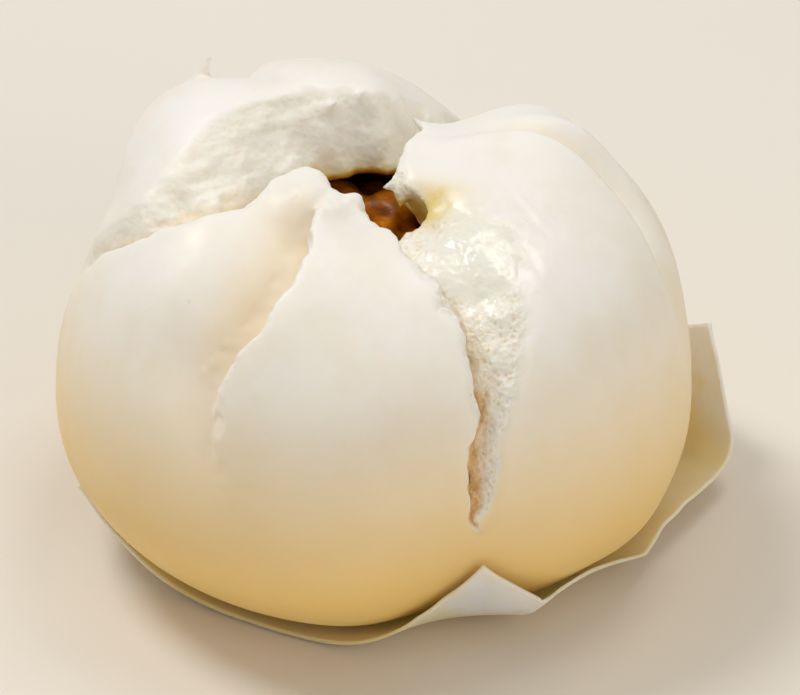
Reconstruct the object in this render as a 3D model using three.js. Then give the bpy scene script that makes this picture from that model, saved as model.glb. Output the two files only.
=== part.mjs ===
// A steamed char siu bao: a white yeast-dough bun that burst open on top into three petals, the
// barbecue-pork filling that shows down its opening, and the piece of paper that it was steamed on.
// Millimetres, +Z up. The origin is on the table, under the middle of the bun; the viewer of the
// reference picture looks along +Y. Every curved surface is worked out from a distance field.
import * as THREE from "three";

// Driving dimensions of the dough.
const BUN_RADIUS = 35.5; // widest half-width
const WAIST_HEIGHT = 20; // height at which the bun is widest, and the centre that directions run from
const CROWN_RISE = 28.5; // waist to the undisturbed crown
const BELLY_DROP = 22.5; // waist to where the underside would close if the table didn't cut it
const CROWN_SQUARENESS = 2.7; // exponent of the upper profile: 2 is an ellipse, more is boxier
const BELLY_SQUARENESS = 2.3;
const FOOT_ROUNDING = 2.2; // soft edge where the side turns into the flat underside
const REACH_SCALE = 36; // millimetres of "reach" per radian down from the crown

// The filling and its hollow.
const HOLLOW = { x: -0.5, y: 2, z: 27, across: 16.5, rise: 15.3 };
const FILLING_GAP = 0.6; // clearance from filling to dough
const SAUCE_LEVEL = 35; // height of the sauce between the pieces of pork

// The paper.
const PAPER_THICKNESS = 0.35;
const PAPER_GAP = 0.1; // clearance from paper to dough
const PAPER = { length: 67, width: 61.5, turn: 62, x: 6.3, y: 6.4 }; // as cut, before it curled up
const PAPER_FLAT_RADIUS = 22; // it lies flat on the table this far out from the middle
const PAPER_FOLD = { azimuth: 28, distance: 35, angle: 84, bend: 5 }; // its right corner stands up

// Meshing.
const DOUGH_STEP = 1;
const DOUGH_TRIANGLES = 9800;
const FILLING_STEP = 1;
const FILLING_TRIANGLES = 1400;
const PAPER_CELLS = 22;

// Tears, pleats and the opening are laid out on the skin by azimuth (degrees, anticlockwise from +X
// seen from above) and reach (millimetres along the skin, down from the crown). A row of stations
// gives one value for each STATION_STEP of reach, starting at the crown.
const STATION_STEP = 8;

// A tear has a steep wall on one side of its valley line and a long torn slope on the other.
// slopeSide is +1 where the slope lies anticlockwise of the valley line. A hollowness over 1 makes
// the slope a trough, and under 1 makes it bulge.
const TEARS = [
  {
    // between the front petal and the far left lobe
    azimuth: [190, 184, 200, 203.5, 194, 184, 178, 173],
    slopeSide: -1,
    slope: [9, 11, 14, 9, 4, 3, 2, 1],
    steep: [2.5, 1.8, 1.4, 1.2, 1.1, 1, 0.9, 0.6],
    depth: [10, 9.5, 8, 5.5, 3.4, 2.4, 0.9, -2],
    hollowness: 1.3,
  },
  {
    // between the front petal and the right petal
    azimuth: [262, 274, 284, 290.3, 292.3, 292.5, 289.8, 290.5],
    slopeSide: 1,
    slope: [3, 4.5, 7, 13, 6.5, 3.7, 2.3, 0.3],
    steep: [2, 1.6, 1.3, 1.2, 1.1, 1, 0.8, 0.3],
    depth: [13, 12, 4.5, 3, 4.5, 4.5, 4.4, 1.3, -5],
    hollowness: 0.6,
  },
  {
    // between the right petal and the far lobes
    azimuth: [76, 62, 57, 57, 57, 56, 53, 52],
    slopeSide: 1,
    slope: [4, 4.5, 3.5, 2.5, 2, 1.6, 1.2, 1],
    steep: [2, 2.2, 2, 1.8, 1.5, 1.2, 0.9, 0.6],
    depth: [12, 10, 7, 4, 3, 2, 0.6, -2],
    hollowness: 1.3,
  },
];

// A pleat is a fold in the skin that isn't torn: one side stands proud as a ridge, and the skin on
// the other side runs down under it. ridgeSide is +1 where the ridge lies anticlockwise, and edge is
// the half-width of the wall between valley and ridge.
const PLEATS = [
  {
    azimuth: [243, 243, 243.5, 248, 245, 239.3, 241.5, 243],
    ridgeSide: 1,
    valley: [0, 0.8, 3.8, 5.2, 5.2, 3.8, 1.4, 0],
    ridge: [0, 0.2, 1, 1.2, 1.1, 0.8, 0.2, 0],
    valleyWidth: 8.5,
    ridgeWidth: 6,
    edge: [2.1, 1.7, 1.1, 0.9, 0.9, 1.3, 2.1, 2.1],
  },
  {
    azimuth: [16, 16, 13, 6, -2, -10, -12, -12],
    ridgeSide: -1,
    valley: [0, 0.2, 1.6, 2.6, 2.6, 1.7, 0.5, 0],
    ridge: [0, 0.1, 0.6, 0.9, 0.8, 0.4, 0, 0],
    valleyWidth: 5.5,
    ridgeWidth: 8,
    edge: [2.1, 2.1],
  },
  {
    azimuth: [24, 24, 24, 22, 16, 6, 0, 0],
    ridgeSide: -1,
    valley: [0, 0, 0.4, 1.6, 2, 1.4, 0.4, 0],
    ridge: [0, 0, 0.1, 0.5, 0.6, 0.3, 0, 0],
    valleyWidth: 5.5,
    ridgeWidth: 6,
    edge: [2.1, 2.1],
  },
  {
    azimuth: [134, 132, 127, 123, 121, 120, 119, 118],
    ridgeSide: -1,
    valley: [0, 0, 0.3, 1.6, 2, 1.4, 0.5, 0],
    ridge: [0, 0, 0.1, 0.4, 0.5, 0.3, 0, 0],
    valleyWidth: 6,
    ridgeWidth: 7,
    edge: [2.1, 2.1],
  },
  {
    azimuth: [84, 84, 84, 82, 84, 87, 90, 92],
    ridgeSide: 1,
    valley: [0, 0, 0, 0, 0.3, 1.8, 1.2, 0],
    ridge: [0, 0, 0, 0, 0.1, 0.5, 0.3, 0],
    valleyWidth: 7,
    ridgeWidth: 6,
    edge: [2.1, 2.1],
  },
];

// Swells of single petals over the plain form: where, how high and how wide, along the skin.
const SWELLS = [
  { azimuth: 99, reach: 15.6, height: 3, width: 10.4 },
  { azimuth: 56, reach: 33.7, height: -5.7, width: 11.9 },
  { azimuth: 150, reach: 25.9, height: 4.8, width: 13.6 },
  { azimuth: 26.5, reach: 23.2, height: 4.7, width: 9.5 },
  { azimuth: 229, reach: 13, height: 2.6, width: 4.4 },
  { azimuth: 261, reach: 12, height: -3.2, width: 5.5 },
  { azimuth: 215, reach: 26, height: 1, width: 12 },
  { azimuth: 172, reach: 39, height: -1.8, width: 14 },
  { azimuth: 57.4, reach: 18.5, height: -3.3, width: 6.8 },
  { azimuth: 161, reach: 42.7, height: -2.4, width: 9 },
  { azimuth: 344, reach: 58, height: 0.6, width: 12 },
  { azimuth: 304, reach: 13.5, height: -2.5, width: 4.2 },
  { azimuth: 286, reach: 63, height: -2.9, width: 17.8 },
  { azimuth: 331, reach: 66.3, height: 0.9, width: 10 },
];

// For each 30 degrees of azimuth, half-width of the opening from the crown's axis at RIM_HEIGHT, and
// how much narrower it gets for each millimetre down: the far wall leans back.
const OPENING_RADIUS = [3.6, 4.8, 8.2, 8.7, 8.7, 11, 6.5, 6, 6.6, 5, 2.9, 3];
const OPENING_LEAN = [0, 0.2, 0.45, 0.5, 0.5, 0.5, 0.2, 0.15, 0.1, -0.05, -0.5, -0.4];
const RIM_HEIGHT = 48;
const OPENING_FLOOR = 31;
// The opening reaches on under the lip of the right petal, as an ellipsoid with these half-sizes.
const POCKET = { x: 4.6, y: -6, z: 41.2, across: 4.2, deep: 2.6, rise: 5.6 };
const LIP_ROUNDING = 1.4;
const SHALLOWEST_TEAR = 0.05;
const FULLY_ROUGH_DEPTH = 5;
const DEEPEST_TEAR = 16; // dough this far under the skin is whole, but for the hollow
const WELL_CLEAR = 4; // distance past which a field's exact value no longer matters

// Roughness of torn dough: relief height and grain of each layer.
const CRAGS = [
  { height: 0.75, grain: 3.4, seed: 11 },
  { height: 0.4, grain: 1.7, seed: 23 },
];

const radians = THREE.MathUtils.degToRad;
const mix = THREE.MathUtils.lerp;
const clamp = THREE.MathUtils.clamp;

function smoothStep(low, high, value) {
  const t = clamp((value - low) / (high - low), 0, 1);
  return t * t * (3 - 2 * t);
}

// The larger of two fields, with their meeting edge rounded over about the given width.
function roundedMax(a, b, width) {
  const near = Math.max(width - Math.abs(a - b), 0) / width;
  return Math.max(a, b) + (near * near * width) / 4;
}

// Catmull-Rom curve through evenly spaced values.
function alongRow(values, place) {
  const last = values.length - 1;
  const p = clamp(place, 0, last);
  const i = Math.min(Math.floor(p), last - 1);
  const t = p - i;
  const a = values[Math.max(i - 1, 0)];
  const b = values[i];
  const c = values[i + 1];
  const d = values[Math.min(i + 2, last)];
  return b + 0.5 * t * (c - a + t * (2 * a - 5 * b + 4 * c - d + t * (3 * (b - c) + d - a)));
}

const atReach = (values, reach) => alongRow(values, reach / STATION_STEP);

function atAzimuth(values, azimuth) {
  const n = values.length;
  const ring = [values[n - 1], ...values, values[0], values[1]];
  const turn = (((azimuth % 360) + 360) % 360) / 360;
  return alongRow(ring, 1 + turn * n);
}

// Shortest signed angle from one azimuth to another, in degrees.
const angleFrom = (azimuth, other) => ((((azimuth - other + 180) % 360) + 360) % 360) - 180;

// Smooth noise from -1 to 1, the same on every run.
function cornerValue(i, j, k, seed) {
  let h = Math.imul(i, 374761393) ^ Math.imul(j, 668265263) ^ Math.imul(k, 2147483629 | 0);
  h = Math.imul(h ^ Math.imul(seed, 974634777), 1274126177);
  h = Math.imul(h ^ (h >>> 13), 1103515245);
  return (((h ^ (h >>> 16)) >>> 0) / 4294967295) * 2 - 1;
}

function noise(x, y, z, seed) {
  const i = Math.floor(x);
  const j = Math.floor(y);
  const k = Math.floor(z);
  const u = smoothStep(0, 1, x - i);
  const v = smoothStep(0, 1, y - j);
  const w = smoothStep(0, 1, z - k);
  const row = (dj, dk) =>
    mix(cornerValue(i, j + dj, k + dk, seed), cornerValue(i + 1, j + dj, k + dk, seed), u);
  return mix(mix(row(0, 0), row(1, 0), v), mix(row(0, 1), row(1, 1), v), w);
}

function crags(x, y, z) {
  let sum = 0;
  for (const layer of CRAGS) {
    const g = layer.grain;
    sum += layer.height * noise(x / g, y / g, z / g, layer.seed);
  }
  return sum;
}

// Where a point lies as seen from the middle of the bun.
function onSkin(x, y, z) {
  const across = Math.hypot(x, y);
  const up = z - WAIST_HEIGHT;
  const fall = Math.atan2(across, up);
  return {
    across,
    radius: Math.hypot(across, up),
    fall,
    reach: REACH_SCALE * fall,
    azimuth: THREE.MathUtils.radToDeg(Math.atan2(y, x)),
  };
}

// Radius of the plain bun, before petals, in the direction that falls so far from the vertical.
function plainRadius(fall) {
  const up = Math.cos(fall);
  const power = up > 0 ? CROWN_SQUARENESS : BELLY_SQUARENESS;
  const rise = up > 0 ? CROWN_RISE : BELLY_DROP;
  const sum = (Math.sin(fall) / BUN_RADIUS) ** power + (Math.abs(up) / rise) ** power;
  return sum ** (-1 / power);
}

// Height that a pleat adds to the skin: below zero in its valley, above zero on its ridge.
function pleatHeight(pleat, at) {
  const aside = radians(angleFrom(at.azimuth, atReach(pleat.azimuth, at.reach))) * at.across;
  const s = aside * pleat.ridgeSide;
  const valley = -atReach(pleat.valley, at.reach) * Math.exp(-((s / pleat.valleyWidth) ** 2));
  const ridge = atReach(pleat.ridge, at.reach) * Math.exp(-((s / pleat.ridgeWidth) ** 2));
  const edge = atReach(pleat.edge, at.reach);
  return mix(valley, ridge, smoothStep(-edge, edge, s));
}

function skinRadius(at) {
  let radius = plainRadius(at.fall);
  for (const swell of SWELLS) {
    const away = radians(angleFrom(at.azimuth, swell.azimuth));
    const square =
      at.reach ** 2 + swell.reach ** 2 - 2 * at.reach * swell.reach * Math.cos(away);
    radius += swell.height * Math.exp(-square / swell.width ** 2);
  }
  for (const pleat of PLEATS) radius += pleatHeight(pleat, at);
  return radius;
}

// Above zero in the air of a tear. Its walls get smoother as it runs out.
function tearAir(tear, at, depthBelowSkin, rough) {
  const depth = atReach(tear.depth, at.reach);
  if (depth < SHALLOWEST_TEAR) return -WELL_CLEAR;
  const aside = radians(angleFrom(at.azimuth, atReach(tear.azimuth, at.reach))) * at.across;
  const s = aside * tear.slopeSide;
  const slope = atReach(tear.slope, at.reach);
  const steep = atReach(tear.steep, at.reach);
  const share = Math.max(s, 0) / slope;
  const slopeDepth = depth * (1 - share ** tear.hollowness);
  const slopeAir = (slopeDepth - depthBelowSkin) / Math.hypot(1, depth / slope);
  const steepAir = (s + steep * (1 - depthBelowSkin / depth)) / Math.hypot(1, steep / depth);
  return Math.min(slopeAir, steepAir) + rough * Math.min(depth / FULLY_ROUGH_DEPTH, 1);
}

// Above zero in the hollow that the filling lies in.
function hollowAir(x, y, z) {
  const across = Math.hypot(x - HOLLOW.x, y - HOLLOW.y) / HOLLOW.across;
  return (1 - Math.hypot(across, (z - HOLLOW.z) / HOLLOW.rise)) * HOLLOW.rise;
}

// Above zero in the opening that leads down to the hollow.
function openingAir(at, x, y, z) {
  const lean = atAzimuth(OPENING_LEAN, at.azimuth);
  const radius = atAzimuth(OPENING_RADIUS, at.azimuth) - lean * (RIM_HEIGHT - z);
  const shaft = Math.min(radius - at.across, z - OPENING_FLOOR);
  const dx = (x - POCKET.x) / POCKET.across;
  const dy = (y - POCKET.y) / POCKET.deep;
  const pocket = (1 - Math.hypot(dx, dy, (z - POCKET.z) / POCKET.rise)) * POCKET.deep;
  return roundedMax(shaft, pocket, LIP_ROUNDING);
}

// Below zero inside the dough.
function doughField(x, y, z) {
  const at = onSkin(x, y, z);
  const skin = at.radius - skinRadius(at);
  const foot = PAPER_THICKNESS + PAPER_GAP - z;
  const outside = roundedMax(skin, foot, FOOT_ROUNDING);
  const hollow = hollowAir(x, y, z);
  if (outside > WELL_CLEAR) return outside;
  if (skin < -DEEPEST_TEAR && hollow < -WELL_CLEAR) return -WELL_CLEAR;
  const rough = crags(x, y, z);
  let field = outside;
  for (const tear of TEARS)
    field = roundedMax(field, tearAir(tear, at, -skin, rough), LIP_ROUNDING);
  field = roundedMax(field, openingAir(at, x, y, z) + rough, LIP_ROUNDING);
  return roundedMax(field, hollow, LIP_ROUNDING);
}

// Pieces of pork: place of the middle, edge length and turn of each.
const PORK = [
  { x: -4, y: 6, z: 36.4, size: 7, turn: 20 },
  { x: 2.6, y: 5, z: 37, size: 6.5, turn: 55 },
  { x: -0.2, y: -1.6, z: 36, size: 7, turn: 10 },
  { x: -6.4, y: 0.2, z: 35, size: 6, turn: 70 },
  { x: 5.2, y: -1.4, z: 35, size: 6, turn: 35 },
  { x: 0.5, y: 10, z: 34.4, size: 6, turn: 40 },
];

function porkField(piece, x, y, z) {
  const turn = radians(piece.turn);
  const dx = x - piece.x;
  const dy = y - piece.y;
  const round = piece.size * 0.28;
  const half = piece.size / 2 - round;
  const a = Math.abs(dx * Math.cos(turn) + dy * Math.sin(turn)) - half;
  const b = Math.abs(dy * Math.cos(turn) - dx * Math.sin(turn)) - half;
  const c = Math.abs(z - piece.z) - half * 0.8;
  const out = Math.hypot(Math.max(a, 0), Math.max(b, 0), Math.max(c, 0));
  return out + Math.min(Math.max(a, b, c), 0) - round;
}

// Below zero inside the filling.
function fillingField(x, y, z) {
  let field = z - SAUCE_LEVEL;
  for (const piece of PORK) field = -roundedMax(-field, -porkField(piece, x, y, z), 1.2);
  field += 0.2 * noise(x / 2.2, y / 2.2, z / 2.2, 5);
  return Math.max(field, FILLING_GAP - hollowAir(x, y, z));
}

// Turns a field into a closed triangle mesh: every grid cube is split into six tetrahedra.
function meshField(field, low, high, step) {
  const count = low.map((v, a) => Math.ceil((high[a] - v) / step) + 1);
  const [nx, ny, nz] = count;
  const stride = [1, nx, nx * ny];
  const value = new Float64Array(nx * ny * nz);
  const placeOf = (n) => [
    low[0] + (n % nx) * step,
    low[1] + (Math.floor(n / nx) % ny) * step,
    low[2] + Math.floor(n / (nx * ny)) * step,
  ];
  for (let n = 0; n < value.length; n++) value[n] = field(...placeOf(n)) || 1e-6;
  const points = [];
  const faces = [];
  const made = new Map();
  const crossing = (a, b) => {
    const key = Math.min(a, b) * value.length + Math.max(a, b);
    if (!made.has(key)) {
      const t = clamp(value[a] / (value[a] - value[b]), 0.03, 0.97);
      const p = placeOf(a);
      const q = placeOf(b);
      made.set(key, points.length);
      points.push(p.map((v, i) => mix(v, q[i], t)));
    }
    return made.get(key);
  };
  const middle = (corners) => {
    const sum = [0, 0, 0];
    for (const c of corners) placeOf(c).forEach((v, i) => (sum[i] += v / corners.length));
    return new THREE.Vector3(...sum);
  };
  const addFace = (a, b, c, inner, outer) => {
    const [p, q, r] = [a, b, c].map((n) => new THREE.Vector3(...points[n]));
    const normal = q.sub(p).cross(r.sub(p));
    const facesOut = normal.dot(outer.clone().sub(inner)) > 0;
    faces.push(facesOut ? [a, b, c] : [a, c, b]);
  };
  const orders = [
    [0, 1, 2],
    [0, 2, 1],
    [1, 0, 2],
    [1, 2, 0],
    [2, 0, 1],
    [2, 1, 0],
  ];
  for (let k = 0; k < nz - 1; k++)
    for (let j = 0; j < ny - 1; j++)
      for (let i = 0; i < nx - 1; i++) {
        const corner = i + j * stride[1] + k * stride[2];
        for (const order of orders) {
          const tetra = [corner];
          for (const axis of order) tetra.push(tetra[tetra.length - 1] + stride[axis]);
          const inner = tetra.filter((n) => value[n] < 0);
          const outer = tetra.filter((n) => value[n] >= 0);
          if (!inner.length || !outer.length) continue;
          const from = middle(inner);
          const to = middle(outer);
          if (inner.length === 2) {
            const [a, b] = inner;
            const [c, d] = outer;
            const ring = [crossing(a, c), crossing(a, d), crossing(b, d), crossing(b, c)];
            addFace(ring[0], ring[1], ring[2], from, to);
            addFace(ring[0], ring[2], ring[3], from, to);
          } else {
            const lone = inner.length === 1 ? inner[0] : outer[0];
            const rest = inner.length === 1 ? outer : inner;
            addFace(...rest.map((n) => crossing(lone, n)), from, to);
          }
        }
      }
  return { points, faces };
}

// Quadric of a plane, as the ten different terms of a symmetric 4 x 4 matrix.
function planeQuadric(n, d, weight) {
  const v = [n.x, n.y, n.z, d];
  const terms = [];
  for (let i = 0; i < 4; i++) for (let j = i; j < 4; j++) terms.push(v[i] * v[j] * weight);
  return terms;
}

function quadricError(q, p) {
  const { x, y, z } = p;
  const square = q[0] * x * x + q[4] * y * y + q[7] * z * z + q[9];
  return square + 2 * (x * (q[1] * y + q[2] * z + q[3]) + y * (q[5] * z + q[6]) + q[8] * z);
}

// The point with the least quadric error, or null where the quadric has no single one.
function quadricPoint(q) {
  const m = new THREE.Matrix3().set(q[0], q[1], q[2], q[1], q[4], q[5], q[2], q[5], q[7]);
  if (Math.abs(m.determinant()) < 1e-5) return null;
  return new THREE.Vector3(-q[3], -q[6], -q[8]).applyMatrix3(m.invert());
}

// A heap that gives back the cheapest entry first.
class CheapestFirst {
  entries = [];

  add(entry) {
    const e = this.entries;
    let i = e.push(entry) - 1;
    while (i > 0) {
      const parent = (i - 1) >> 1;
      if (e[parent].cost <= e[i].cost) break;
      [e[parent], e[i]] = [e[i], e[parent]];
      i = parent;
    }
  }

  take() {
    const e = this.entries;
    const first = e[0];
    const last = e.pop();
    if (!e.length) return first;
    e[0] = last;
    for (let i = 0; ; ) {
      let least = i;
      for (const child of [2 * i + 1, 2 * i + 2])
        if (child < e.length && e[child].cost < e[least].cost) least = child;
      if (least === i) return first;
      [e[least], e[i]] = [e[i], e[least]];
      i = least;
    }
  }
}

// Joins the ends of short or flat edges until only so many triangles are left. The mesh stays closed.
function thinMesh(mesh, wanted) {
  const points = mesh.points.map((p) => new THREE.Vector3(...p));
  const faces = mesh.faces.map((f) => [...f]);
  const facesAt = points.map(() => new Set());
  const quadrics = points.map(() => new Array(10).fill(0));
  const stamp = new Int32Array(points.length);
  const normalOf = (a, b, c) => new THREE.Vector3().subVectors(b, a).cross(c.clone().sub(a));
  faces.forEach((face, index) => {
    const [a, b, c] = face.map((n) => points[n]);
    const normal = normalOf(a, b, c);
    const area = normal.length();
    normal.normalize();
    const terms = planeQuadric(normal, -normal.dot(a), area);
    for (const n of face) {
      facesAt[n].add(index);
      terms.forEach((term, t) => (quadrics[n][t] += term));
    }
  });
  const neighbours = (n) => {
    const found = new Set();
    for (const f of facesAt[n]) for (const m of faces[f]) if (m !== n) found.add(m);
    return found;
  };
  const queue = new CheapestFirst();
  const offer = (a, b) => {
    const q = quadrics[a].map((term, t) => term + quadrics[b][t]);
    const halfway = points[a].clone().lerp(points[b], 0.5);
    const length = points[a].distanceTo(points[b]);
    const best = quadricPoint(q);
    const usable = best && best.distanceTo(halfway) < length;
    const place = usable ? best : halfway;
    const cost = Math.max(quadricError(q, place), 0) + 1e-4 * length ** 3;
    queue.add({ cost, a, b, place, q, stampA: stamp[a], stampB: stamp[b] });
  };
  const staysSound = (n, other, place) => {
    for (const f of facesAt[n]) {
      if (faces[f].includes(other)) continue;
      const before = normalOf(...faces[f].map((m) => points[m]));
      const after = normalOf(...faces[f].map((m) => (m === n ? place : points[m])));
      if (after.length() < 1e-3 || before.dot(after) < 0.3 * before.length() * after.length())
        return false;
    }
    return true;
  };
  points.forEach((_, n) => neighbours(n).forEach((m) => n < m && offer(n, m)));
  let left = faces.length;
  while (left > wanted && queue.entries.length) {
    const { a, b, place, q, stampA, stampB } = queue.take();
    if (stamp[a] !== stampA || stamp[b] !== stampB) continue;
    const around = neighbours(b);
    const shared = [...neighbours(a)].filter((n) => around.has(n));
    if (shared.length !== 2 || !staysSound(a, b, place) || !staysSound(b, a, place)) continue;
    if (shared.some((n) => facesAt[n].size < 4)) continue;
    for (const f of facesAt[b]) {
      if (faces[f].includes(a)) {
        faces[f].forEach((n) => n !== b && facesAt[n].delete(f));
        faces[f] = null;
        left--;
      } else {
        faces[f] = faces[f].map((n) => (n === b ? a : n));
        facesAt[a].add(f);
      }
    }
    facesAt[b].clear();
    points[a].copy(place);
    quadrics[a] = q;
    stamp[a]++;
    stamp[b]++;
    for (const n of neighbours(a)) offer(a, n);
  }
  return { points: points.map((p) => p.toArray()), faces: faces.filter(Boolean) };
}

function toGeometry({ points, faces }) {
  const corners = faces.flatMap((face) => face.flatMap((n) => points[n]));
  const geometry = new THREE.BufferGeometry();
  geometry.setAttribute("position", new THREE.Float32BufferAttribute(corners, 3));
  geometry.computeVertexNormals();
  return geometry;
}

// How closely the paper clings to the dough's belly: 1 follows it, 0 stays flat on the table.
const CLING = [
  { azimuth: 290, width: 28, share: 1 }, // front corner
  { azimuth: 192, width: 34, share: 1 }, // left corner
  { azimuth: 100, width: 40, share: 0.75 }, // back corner
  { azimuth: 318, width: 24, share: 0.9 },
  { azimuth: 345, width: 20, share: 0.5 },
];
const CLING_STEP = 0.5; // length of one step in following the belly
const PAPER_TUCK = { azimuth: 286, width: 28, depth: 2.2 }; // the foot is narrower at the front
const PAPER_DRAG = { azimuth: 296, width: 18, turn: 4 }; // the front corner lies askew

function clingShare(azimuth) {
  const away = (c) => angleFrom(azimuth, c.azimuth) / c.width;
  return Math.max(...CLING.map((c) => c.share * Math.exp(-(away(c) ** 2))));
}

// Slope of the belly at a distance out from the axis, where the bun is this wide.
function bellySlope(across, widest) {
  const share = (Math.min(across, 0.985 * widest) / widest) ** BELLY_SQUARENESS;
  const steepness = (share / across) * (1 - share) ** (1 / BELLY_SQUARENESS - 1);
  return Math.atan(BELLY_DROP * steepness);
}

// Where a point of the flat sheet comes to lie. Lengths along the sheet are kept.
function paperPlace(x, y) {
  const fold = radians(PAPER_FOLD.azimuth);
  const past = Math.max(x * Math.cos(fold) + y * Math.sin(fold) - PAPER_FOLD.distance, 0);
  const turned = Math.min(past / PAPER_FOLD.bend, radians(PAPER_FOLD.angle));
  const straight = past - turned * PAPER_FOLD.bend;
  const forward = PAPER_FOLD.bend * Math.sin(turned) + straight * Math.cos(turned);
  const lift = PAPER_FOLD.bend * (1 - Math.cos(turned)) + straight * Math.sin(turned);
  const px = x + (forward - past) * Math.cos(fold);
  const py = y + (forward - past) * Math.sin(fold);
  const reach = Math.hypot(px, py);
  const azimuth = THREE.MathUtils.radToDeg(Math.atan2(py, px));
  const share = clingShare(azimuth);
  const bump = (spot) => Math.exp(-((angleFrom(azimuth, spot.azimuth) / spot.width) ** 2));
  const widest = BUN_RADIUS - PAPER_TUCK.depth * bump(PAPER_TUCK);
  let across = Math.min(reach, PAPER_FLAT_RADIUS - PAPER_TUCK.depth * bump(PAPER_TUCK));
  let rise = 0;
  for (let left = reach - across; left > 0; left -= CLING_STEP) {
    const length = Math.min(left, CLING_STEP);
    const slope = share * bellySlope(across, widest);
    across += length * Math.cos(slope);
    rise += length * Math.sin(slope);
  }
  const lifted = clamp((reach - PAPER_FLAT_RADIUS) / 12, 0, 1);
  const free = lifted * (1 - share);
  const ripple = free * (0.35 + 0.35 * Math.sin(radians(azimuth) * 9 + 0.6));
  const askew = radians(azimuth - PAPER_DRAG.turn * lifted * bump(PAPER_DRAG));
  return [across * Math.cos(askew), across * Math.sin(askew), rise + lift + ripple];
}

// A sheet with two alike faces, a thickness apart, closed round its rim.
function paperGeometry() {
  const n = PAPER_CELLS;
  const turn = radians(PAPER.turn);
  const points = [];
  const faces = [];
  for (const side of [0, 1])
    for (let j = 0; j <= n; j++)
      for (let i = 0; i <= n; i++) {
        const sheet = (di, dj) => {
          const u = ((i + di) / n - 0.5) * PAPER.length;
          const v = ((j + dj) / n - 0.5) * PAPER.width;
          const x = PAPER.x + u * Math.cos(turn) - v * Math.sin(turn);
          const y = PAPER.y + u * Math.sin(turn) + v * Math.cos(turn);
          return new THREE.Vector3(...paperPlace(x, y));
        };
        const along = sheet(0.1, 0).sub(sheet(-0.1, 0));
        const up = along.cross(sheet(0, 0.1).sub(sheet(0, -0.1))).setLength(PAPER_THICKNESS * side);
        points.push(sheet(0, 0).add(up).toArray());
      }
  const layer = (n + 1) ** 2;
  const at = (i, j) => i + j * (n + 1);
  for (let j = 0; j < n; j++)
    for (let i = 0; i < n; i++) {
      const [a, b, c, d] = [at(i, j), at(i + 1, j), at(i + 1, j + 1), at(i, j + 1)];
      faces.push([a, c, b], [a, d, c]);
      faces.push([a + layer, b + layer, c + layer], [a + layer, c + layer, d + layer]);
    }
  const rim = [];
  for (let i = 0; i < n; i++) rim.push(at(i, 0));
  for (let j = 0; j < n; j++) rim.push(at(n, j));
  for (let i = n; i > 0; i--) rim.push(at(i, n));
  for (let j = n; j > 0; j--) rim.push(at(0, j));
  rim.forEach((a, place) => {
    const b = rim[(place + 1) % rim.length];
    faces.push([a, b, b + layer], [a, b + layer, a + layer]);
  });
  return toGeometry({ points, faces });
}

function piece(name, geometry, color, roughness) {
  const material = new THREE.MeshStandardMaterial({ color, roughness, metalness: 0 });
  const mesh = new THREE.Mesh(geometry, material);
  mesh.name = name;
  return mesh;
}

function dough() {
  const side = BUN_RADIUS + 4;
  const top = WAIST_HEIGHT + CROWN_RISE + 6;
  const mesh = meshField(doughField, [-side, -side, -1], [side, side, top], DOUGH_STEP);
  return piece("dough", toGeometry(thinMesh(mesh, DOUGH_TRIANGLES)), 0xf3ead9, 0.5);
}

function filling() {
  const side = HOLLOW.across + 2;
  const low = [HOLLOW.x - side, HOLLOW.y - side, HOLLOW.z - HOLLOW.rise - 1];
  const high = [HOLLOW.x + side, HOLLOW.y + side, HOLLOW.z + HOLLOW.rise + 2];
  const mesh = meshField(fillingField, low, high, FILLING_STEP);
  return piece("filling", toGeometry(thinMesh(mesh, FILLING_TRIANGLES)), 0x7a3411, 0.25);
}

function paper() {
  return piece("paper", paperGeometry(), 0xe9dfcd, 0.7);
}

const bao = new THREE.Group();
bao.add(dough(), filling(), paper());

export default bao;
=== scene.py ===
"""A steamed char siu bao, dressed for its portrait.

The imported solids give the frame: the dough, the filling and the paper are each replaced by a finer
mesh of the same form, worked out from the same named sizes. Lengths in the shape functions are
millimetres; meshes and the stage are in metres.
"""

import math

import bpy
import numpy as np
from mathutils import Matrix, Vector


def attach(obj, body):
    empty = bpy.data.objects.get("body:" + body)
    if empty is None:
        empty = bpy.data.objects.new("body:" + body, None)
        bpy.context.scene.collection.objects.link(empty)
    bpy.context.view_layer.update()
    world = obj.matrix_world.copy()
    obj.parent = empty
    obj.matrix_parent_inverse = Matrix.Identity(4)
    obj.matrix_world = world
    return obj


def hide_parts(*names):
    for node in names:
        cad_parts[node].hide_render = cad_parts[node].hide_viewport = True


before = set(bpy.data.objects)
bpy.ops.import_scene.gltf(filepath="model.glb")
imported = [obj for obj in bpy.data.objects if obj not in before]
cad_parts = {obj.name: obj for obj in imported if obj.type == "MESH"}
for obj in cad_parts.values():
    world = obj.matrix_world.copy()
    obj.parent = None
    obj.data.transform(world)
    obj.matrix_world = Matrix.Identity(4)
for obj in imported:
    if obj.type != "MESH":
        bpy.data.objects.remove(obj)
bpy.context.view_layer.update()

bl_info = {
    "name": "Steamed Char Siu Bao",
    "version": (1, 0, 0),
    "blender": (4, 5, 0),
    "location": "View3D > Sidebar > Bao",
    "description": "Makes a burst steamed pork bun on its sheet of paper",
    "category": "Add Mesh",
}

MM = 0.001

# Driving dimensions of the dough, in millimetres.
BUN_RADIUS = 35.5
WAIST_HEIGHT = 20.0
CROWN_RISE = 28.5
BELLY_DROP = 22.5
CROWN_SQUARENESS = 2.7
BELLY_SQUARENESS = 2.3
FOOT_ROUNDING = 2.2
REACH_SCALE = 36.0
STATION_STEP = 8.0

HOLLOW = {"x": -0.5, "y": 2.0, "z": 27.0, "across": 16.5, "rise": 15.3}
FILLING_GAP = 0.6
SAUCE_LEVEL = 35.0

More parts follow.
